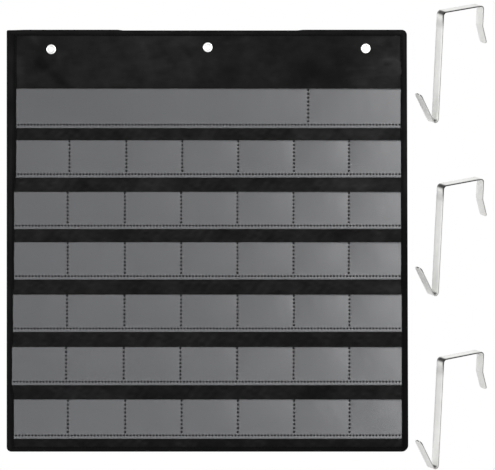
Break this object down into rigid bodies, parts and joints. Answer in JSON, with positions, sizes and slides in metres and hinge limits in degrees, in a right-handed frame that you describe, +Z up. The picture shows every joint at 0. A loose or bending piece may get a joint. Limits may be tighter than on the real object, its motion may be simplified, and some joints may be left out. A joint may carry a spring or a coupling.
{
  "type": "pocket chart",
  "caption": "Black cloth wall chart with rows of clear grey pockets, a header with hanging eyelets, and bent strip hooks that go over a door.",
  "frame": {"origin": "middle of the centre eyelet's hole, in the middle of the cloth's thickness", "axes": "+Z up the hanging chart, +X to the right as it is read, -Y towards the reader"},
  "size_m": [0.7199, 0.0826, 0.6971],
  "materials": {
    "black_cloth": "matt woven",
    "binding_tape": "matt woven tape",
    "black_thread": "matt thread",
    "clear_film": "hazy clear film",
    "nickel": "bright nickel plate",
    "plated_steel": "pale satin plate"
  },
  "bodies": {
    "chart_upper": {"backing_upper": "black_cloth", "binding_top": "binding_tape", "binding_left_upper": "binding_tape", "binding_right_upper": "binding_tape", "pocket_film_1": "clear_film", "row_stitching_1": "black_thread", "pocket_film_2": "clear_film", "row_stitching_2": "black_thread", "pocket_film_3": "clear_film", "row_stitching_3": "black_thread", "binding_stitching_upper": "black_thread", "eyelet_left": "nickel", "eyelet_washer_left": "nickel", "eyelet_centre": "nickel", "eyelet_washer_centre": "nickel", "eyelet_right": "nickel", "eyelet_washer_right": "nickel"},
    "chart_lower": {"backing_lower": "black_cloth", "binding_bottom": "binding_tape", "binding_left_lower": "binding_tape", "binding_right_lower": "binding_tape", "pocket_film_4": "clear_film", "row_stitching_4": "black_thread", "pocket_film_5": "clear_film", "row_stitching_5": "black_thread", "pocket_film_6": "clear_film", "row_stitching_6": "black_thread", "pocket_film_7": "clear_film", "row_stitching_7": "black_thread", "binding_stitching_lower": "black_thread"},
    "hook_top": {"door_hook_top": "plated_steel"},
    "hook_middle": {"door_hook_middle": "plated_steel"},
    "hook_bottom": {"door_hook_bottom": "plated_steel"}
  },
  "joints": [
    {"name": "fold", "type": "hinge", "parent": "chart_upper", "child": "chart_lower", "pos_m": [0, -0.0035, -0.28485], "axis": [-1, 0, 0], "range_deg": [0, 176]},
    {"name": "hook_top_lift", "type": "slide", "parent": "chart_upper", "child": "hook_top", "axis": [0.044, -0.266, 0.963], "range_m": [0, 0.06]},
    {"name": "hook_middle_lift", "type": "slide", "parent": "chart_upper", "child": "hook_middle", "axis": [0.044, -0.266, 0.963], "range_m": [0, 0.06]},
    {"name": "hook_bottom_lift", "type": "slide", "parent": "chart_upper", "child": "hook_bottom", "axis": [0.044, -0.266, 0.963], "range_m": [0, 0.06]}
  ]
}
